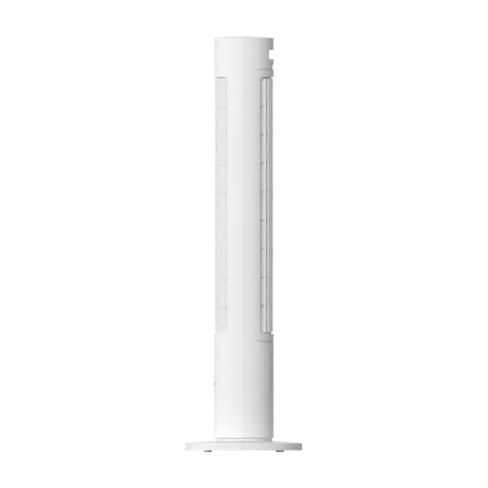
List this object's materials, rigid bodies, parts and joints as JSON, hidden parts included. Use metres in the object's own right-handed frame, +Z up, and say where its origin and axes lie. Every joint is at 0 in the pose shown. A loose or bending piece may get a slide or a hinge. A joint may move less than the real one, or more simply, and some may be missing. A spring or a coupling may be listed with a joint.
{
  "type": "tower fan",
  "caption": "Slim round tower fan on a low disc base: slatted front outlet, pull-off rear intake cover, carry slot, domed top with push buttons, swinging column.",
  "frame": {"origin": "centre of the circle of feet, on the floor that the feet stand on", "axes": "+Z up along the column; the air outlet faces -Y, the intake cover and carry slot face +Y, and +X is to the right seen from the front"},
  "size_m": [0.311, 0.311, 1.1047],
  "materials": {
    "white_plastic": "fine satin",
    "button_plastic": "satin",
    "grey_plastic": "matte",
    "dark_plastic": "matte",
    "slide_plastic": "smooth",
    "rubber": "matte",
    "steel": "brushed",
    "zinc_steel": "bright",
    "motor_metal": "satin",
    "bronze": "sintered",
    "circuit_board": "lacquered",
    "switch_plastic": "matte",
    "smoked_lens": "glossy"
  },
  "bodies": {
    "base": {"base_front": "white_plastic", "base_rear": "white_plastic", "base_plate": "grey_plastic", "rubber_feet": "rubber", "base_screws": "zinc_steel", "ballast_plate": "steel", "swivel_post": "steel", "post_screws": "zinc_steel", "neck_collar": "white_plastic", "thrust_ring": "slide_plastic", "cord_inlet": "grey_plastic", "sector_gear": "slide_plastic", "retaining_nut": "zinc_steel"},
    "tower": {"tower_chassis": "dark_plastic", "swivel_bush": "slide_plastic", "swing_motor": "motor_metal", "swing_screws": "zinc_steel", "front_shell": "white_plastic", "rear_shell": "white_plastic", "shell_screws": "zinc_steel", "front_grille": "white_plastic", "handle_cup": "white_plastic", "top_cap": "white_plastic", "control_board": "circuit_board", "switches": "switch_plastic", "indicator_lens": "smoked_lens", "indicator_board": "circuit_board", "main_board": "circuit_board", "duct_floor": "dark_plastic", "duct_ceiling": "dark_plastic", "scroll_wall": "dark_plastic", "stabiliser_wall": "dark_plastic", "bearing_seat": "rubber", "bearing_bush": "bronze", "fan_motor": "motor_metal", "motor_grommets": "rubber", "motor_screws": "zinc_steel"},
    "fan_rotor": {"impeller": "dark_plastic", "motor_shaft": "steel", "stub_axle": "steel"},
    "pinion": {"swing_pinion": "slide_plastic"},
    "rear_cover_body": {"rear_cover": "white_plastic"},
    "power_key": {"power_button": "button_plastic"},
    "speed_key": {"speed_button": "button_plastic"},
    "swing_key": {"swing_button": "button_plastic"},
    "timer_key": {"timer_button": "button_plastic"}
  },
  "joints": [
    {"name": "swing", "type": "hinge", "parent": "base", "child": "tower", "pos_m": [0, 0, 0.04], "axis": [0, 0, 1], "range_deg": [-45, 45]},
    {"name": "pinion_turn", "type": "hinge", "parent": "tower", "child": "pinion", "pos_m": [0, -0.045, 0.055], "axis": [0, 0, 1], "range_deg": [-185, 185]},
    {"name": "fan_turn", "type": "hinge", "parent": "tower", "child": "fan_rotor", "pos_m": [0, 0, 0.65], "axis": [0, 0, 1], "continuous": true},
    {"name": "cover_pull", "type": "slide", "parent": "tower", "child": "rear_cover_body", "axis": [0, 1, 0], "range_m": [0, 0.09]},
    {"name": "power_press", "type": "slide", "parent": "tower", "child": "power_key", "axis": [0, 0, -1], "range_m": [0, 0.001], "stiffness_N_per_m": 600, "springref_m": -0.001},
    {"name": "speed_press", "type": "slide", "parent": "tower", "child": "speed_key", "axis": [0, 0, -1], "range_m": [0, 0.001], "stiffness_N_per_m": 600, "springref_m": -0.001},
    {"name": "swing_press", "type": "slide", "parent": "tower", "child": "swing_key", "axis": [0, 0, -1], "range_m": [0, 0.001], "stiffness_N_per_m": 600, "springref_m": -0.001},
    {"name": "timer_press", "type": "slide", "parent": "tower", "child": "timer_key", "axis": [0, 0, -1], "range_m": [0, 0.001], "stiffness_N_per_m": 600, "springref_m": -0.001}
  ],
  "couplings": [
    {"joint": "pinion_turn", "follows": "swing", "ratio": 4}
  ]
}
